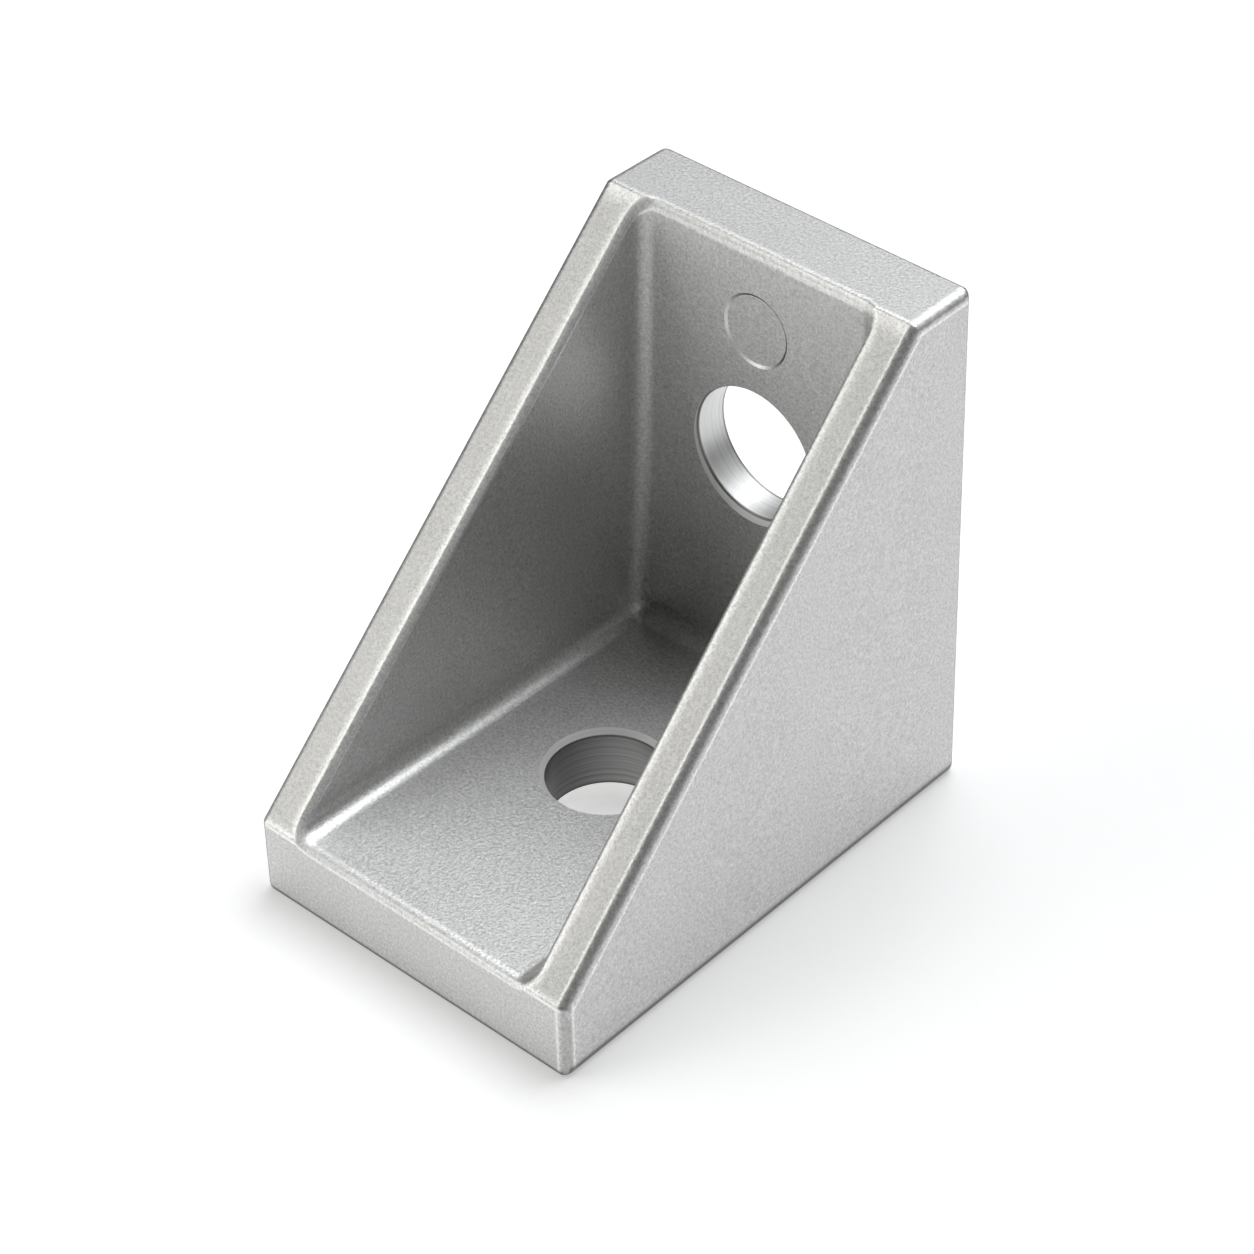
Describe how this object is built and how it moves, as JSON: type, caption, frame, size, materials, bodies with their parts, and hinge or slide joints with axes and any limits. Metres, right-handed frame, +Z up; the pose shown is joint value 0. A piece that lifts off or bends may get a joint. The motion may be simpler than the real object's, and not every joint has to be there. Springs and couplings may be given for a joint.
{
  "type": "gusseted corner bracket",
  "caption": "Cast aluminium corner bracket with a bored base plate and upright, joined by sloping side walls round an open pocket.",
  "frame": {"origin": "middle of the underside, at the centre of the bounding box's bottom", "axes": "+Z up along the base bore and the upright, +Y from the toe to the back face, +X across the bracket"},
  "size_m": [0.028, 0.04, 0.04],
  "materials": {
    "cast_aluminium": "bead-blasted satin casting"
  },
  "bodies": {
    "root": {"bracket": "cast_aluminium"}
  },
  "joints": []
}
